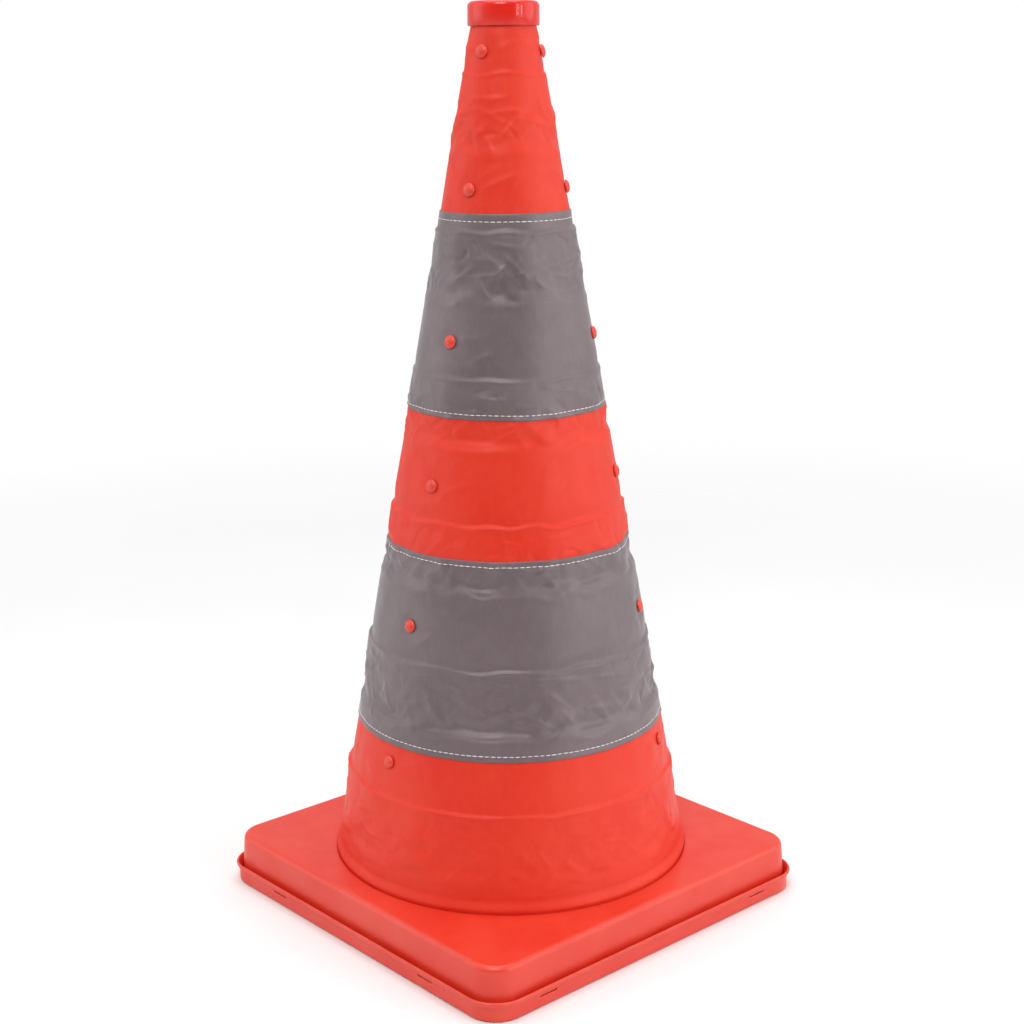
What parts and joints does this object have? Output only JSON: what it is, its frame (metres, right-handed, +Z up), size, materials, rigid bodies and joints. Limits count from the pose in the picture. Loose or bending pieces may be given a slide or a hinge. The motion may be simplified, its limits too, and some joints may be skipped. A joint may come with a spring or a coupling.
{
  "type": "folding traffic cone",
  "caption": "Folding traffic cone: orange fabric sleeve on nesting rings with two wide reflective bands, round cap, inner spring and square two-piece plastic base.",
  "frame": {"origin": "middle of the square footprint, on the ground", "axes": "+Z up along the cone's axis; X and Y along the base's sides"},
  "size_m": [0.3392, 0.3392, 0.7],
  "materials": {
    "orange_plastic": "satin moulded orange-red plastic",
    "ring_plastic": "satin moulded orange plastic",
    "orange_fabric": "plain-woven coated orange-red nylon, soft sheen",
    "reflective_fabric": "grey retroreflective fabric with a soft metallic sheen",
    "spring_steel": "drawn spring steel wire",
    "black_rubber": "matt black rubber"
  },
  "bodies": {
    "base": {"base_tray": "orange_plastic", "base_shell": "orange_plastic", "foot_1": "black_rubber", "foot_2": "black_rubber", "foot_3": "black_rubber", "foot_4": "black_rubber", "ring_7": "ring_plastic", "sleeve_7": "orange_fabric", "rivet_7_a": "orange_plastic", "rivet_7_b": "orange_plastic", "rivet_7_c": "orange_plastic", "spring": "spring_steel"},
    "stage_6": {"ring_6": "ring_plastic", "sleeve_6": "orange_fabric", "lower_band_c": "reflective_fabric", "rivet_6_a": "orange_plastic", "rivet_6_b": "orange_plastic", "rivet_6_c": "orange_plastic"},
    "stage_5": {"ring_5": "ring_plastic", "sleeve_5": "orange_fabric", "lower_band_b": "reflective_fabric", "rivet_5_a": "orange_plastic", "rivet_5_b": "orange_plastic", "rivet_5_c": "orange_plastic"},
    "stage_4": {"ring_4": "ring_plastic", "sleeve_4": "orange_fabric", "lower_band_a": "reflective_fabric", "rivet_4_a": "orange_plastic", "rivet_4_b": "orange_plastic", "rivet_4_c": "orange_plastic"},
    "stage_3": {"ring_3": "ring_plastic", "sleeve_3": "orange_fabric", "upper_band_b": "reflective_fabric", "rivet_3_a": "orange_plastic", "rivet_3_b": "orange_plastic", "rivet_3_c": "orange_plastic"},
    "stage_2": {"ring_2": "ring_plastic", "sleeve_2": "orange_fabric", "upper_band_a": "reflective_fabric", "rivet_2_a": "orange_plastic", "rivet_2_b": "orange_plastic", "rivet_2_c": "orange_plastic"},
    "stage_1": {"ring_1": "ring_plastic", "sleeve_1": "orange_fabric", "rivet_1_a": "orange_plastic", "rivet_1_b": "orange_plastic", "rivet_1_c": "orange_plastic", "cap": "orange_plastic"}
  },
  "joints": [
    {"name": "collapse", "type": "slide", "parent": "base", "child": "stage_6", "axis": [0, 0, -1], "range_m": [0, 0.106], "stiffness_N_per_m": 150, "springref_m": -0.0667, "deforming": ["sleeve_6", "lower_band_c", "spring"]},
    {"name": "stage_5_slide", "type": "slide", "parent": "stage_6", "child": "stage_5", "axis": [0, 0, -1], "range_m": [0, 0.106], "stiffness_N_per_m": 150, "springref_m": -0.0667, "deforming": ["sleeve_5", "lower_band_b"]},
    {"name": "stage_4_slide", "type": "slide", "parent": "stage_5", "child": "stage_4", "axis": [0, 0, -1], "range_m": [0, 0.106], "stiffness_N_per_m": 150, "springref_m": -0.0667, "deforming": ["sleeve_4", "lower_band_a"]},
    {"name": "stage_3_slide", "type": "slide", "parent": "stage_4", "child": "stage_3", "axis": [0, 0, -1], "range_m": [0, 0.106], "stiffness_N_per_m": 150, "springref_m": -0.0667, "deforming": ["sleeve_3", "upper_band_b"]},
    {"name": "stage_2_slide", "type": "slide", "parent": "stage_3", "child": "stage_2", "axis": [0, 0, -1], "range_m": [0, 0.106], "stiffness_N_per_m": 150, "springref_m": -0.0667, "deforming": ["sleeve_2", "upper_band_a"]},
    {"name": "stage_1_slide", "type": "slide", "parent": "stage_2", "child": "stage_1", "axis": [0, 0, -1], "range_m": [0, 0.106], "stiffness_N_per_m": 150, "springref_m": -0.0667, "deforming": ["sleeve_1"]}
  ],
  "couplings": [
    {"joint": "stage_5_slide", "follows": "collapse", "ratio": 1},
    {"joint": "stage_4_slide", "follows": "collapse", "ratio": 1},
    {"joint": "stage_3_slide", "follows": "collapse", "ratio": 1},
    {"joint": "stage_2_slide", "follows": "collapse", "ratio": 1},
    {"joint": "stage_1_slide", "follows": "collapse", "ratio": 1}
  ]
}
